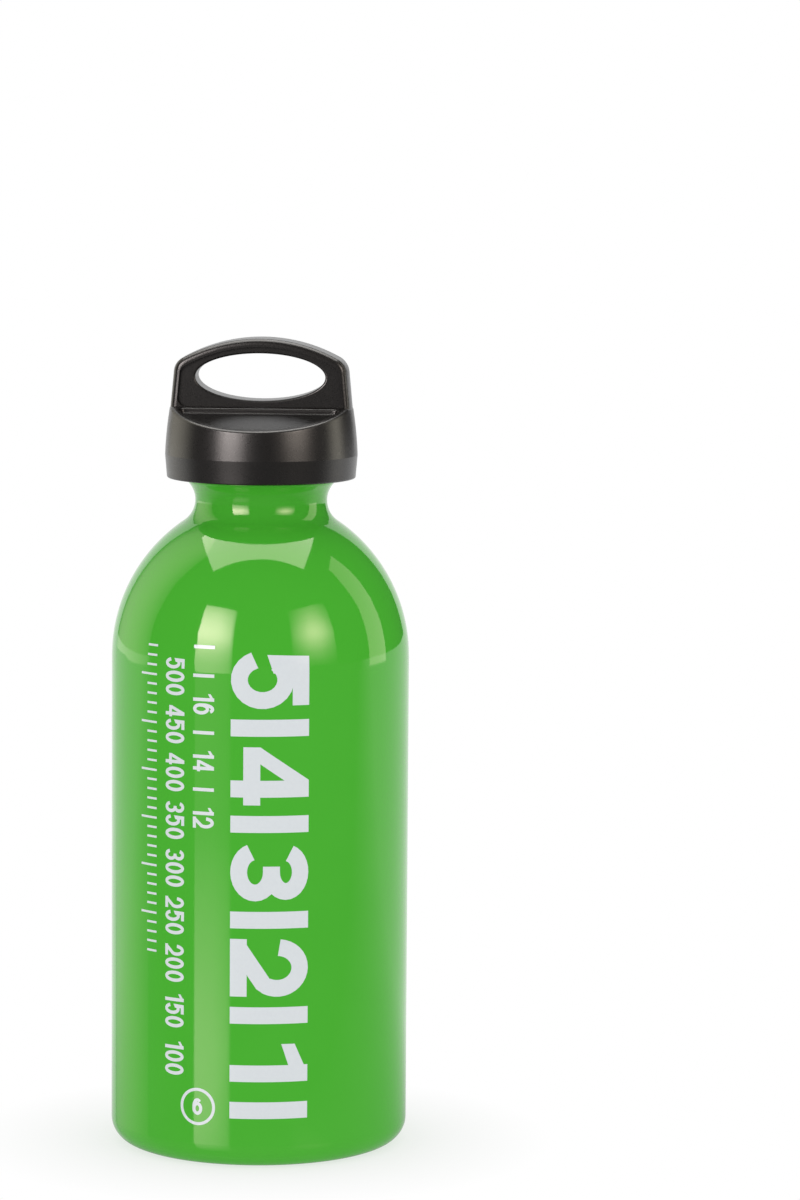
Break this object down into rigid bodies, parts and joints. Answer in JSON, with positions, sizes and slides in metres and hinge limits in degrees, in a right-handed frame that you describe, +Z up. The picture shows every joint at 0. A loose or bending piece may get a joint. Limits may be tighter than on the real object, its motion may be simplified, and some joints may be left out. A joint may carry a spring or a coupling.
{
  "type": "camping fuel bottle",
  "caption": "Aluminium bottle for liquid stove fuel, with a push-and-turn screw cap and a carrying loop.",
  "frame": {"origin": "centre of the base, on the surface that the bottle stands on", "axes": "+Z up along the bottle's axis; the carrying loop is wide along X; -Y is the front, which the picture shows"},
  "size_m": [0.075, 0.075, 0.2042],
  "materials": {
    "bottle": "gloss",
    "plug": "satin",
    "seal": "satin",
    "spring": "satin",
    "washer": "satin",
    "ring": "satin",
    "cap": "satin"
  },
  "bodies": {
    "bottle": {"bottle_shell": "bottle"},
    "seal": {"seal_ring": "seal"},
    "plug": {"threaded_plug": "plug", "clutch_spring": "spring"},
    "washer": {"thrust_washer": "washer"},
    "cap": {"outer_cap": "cap", "retaining_ring": "ring"}
  },
  "joints": [
    {"name": "cap_lift", "type": "slide", "parent": "bottle", "child": "seal", "axis": [0, 0, 1], "range_m": [0, 0.015]},
    {"name": "cap_unscrew", "type": "hinge", "parent": "seal", "child": "plug", "pos_m": [0, 0, 0.165], "axis": [0, 0, 1], "range_deg": [0, 1800]},
    {"name": "cap_press", "type": "slide", "parent": "plug", "child": "washer", "axis": [0, 0, 1], "range_m": [-0.0016, 0], "stiffness_N_per_m": 4000, "springref_m": 0.0025, "deforming": ["clutch_spring"]},
    {"name": "cap_free_turn", "type": "hinge", "parent": "washer", "child": "cap", "pos_m": [0, 0, 0.18], "axis": [0, 0, 1], "continuous": true}
  ],
  "couplings": [
    {"joint": "cap_lift", "follows": "cap_unscrew", "m_per_rad": 0.00047746}
  ]
}
